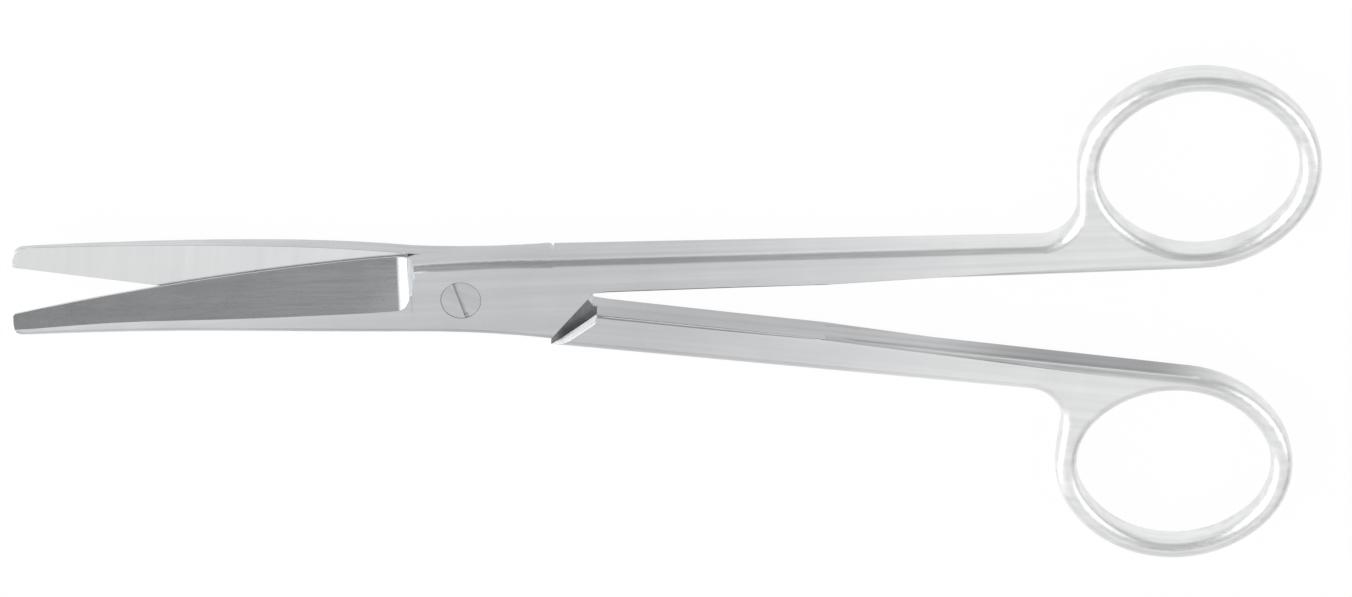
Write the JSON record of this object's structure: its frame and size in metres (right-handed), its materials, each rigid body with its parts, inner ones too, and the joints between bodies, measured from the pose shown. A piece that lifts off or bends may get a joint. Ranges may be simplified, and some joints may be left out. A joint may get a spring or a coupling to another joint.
{
  "type": "dissecting scissors",
  "caption": "Slim steel dissecting scissors with blunt blades that curve upwards, long straight shanks, oval finger rings and a slotted pivot screw, standing slightly open.",
  "frame": {"origin": "on the pivot screw's axis, in the flat underside of the box joint", "axes": "+X towards the blade tips along the middle of the opening, +Z along the screw axis out of its slotted head, +Y completes a right-handed frame; the rear half's ring is on the +Y side"},
  "size_m": [0.1689, 0.072, 0.0088],
  "materials": {
    "forged_steel": "satin ground stainless steel, brighter on the rings",
    "screw_steel": "satin turned stainless steel"
  },
  "bodies": {
    "rear": {"rear_half": "forged_steel", "pivot_screw": "screw_steel"},
    "front": {"front_half": "forged_steel"}
  },
  "joints": [
    {"name": "pivot", "type": "hinge", "parent": "rear", "child": "front", "pos_m": [0, 0, 0], "axis": [0, 0, 1], "range_deg": [-8.9, 80]}
  ]
}
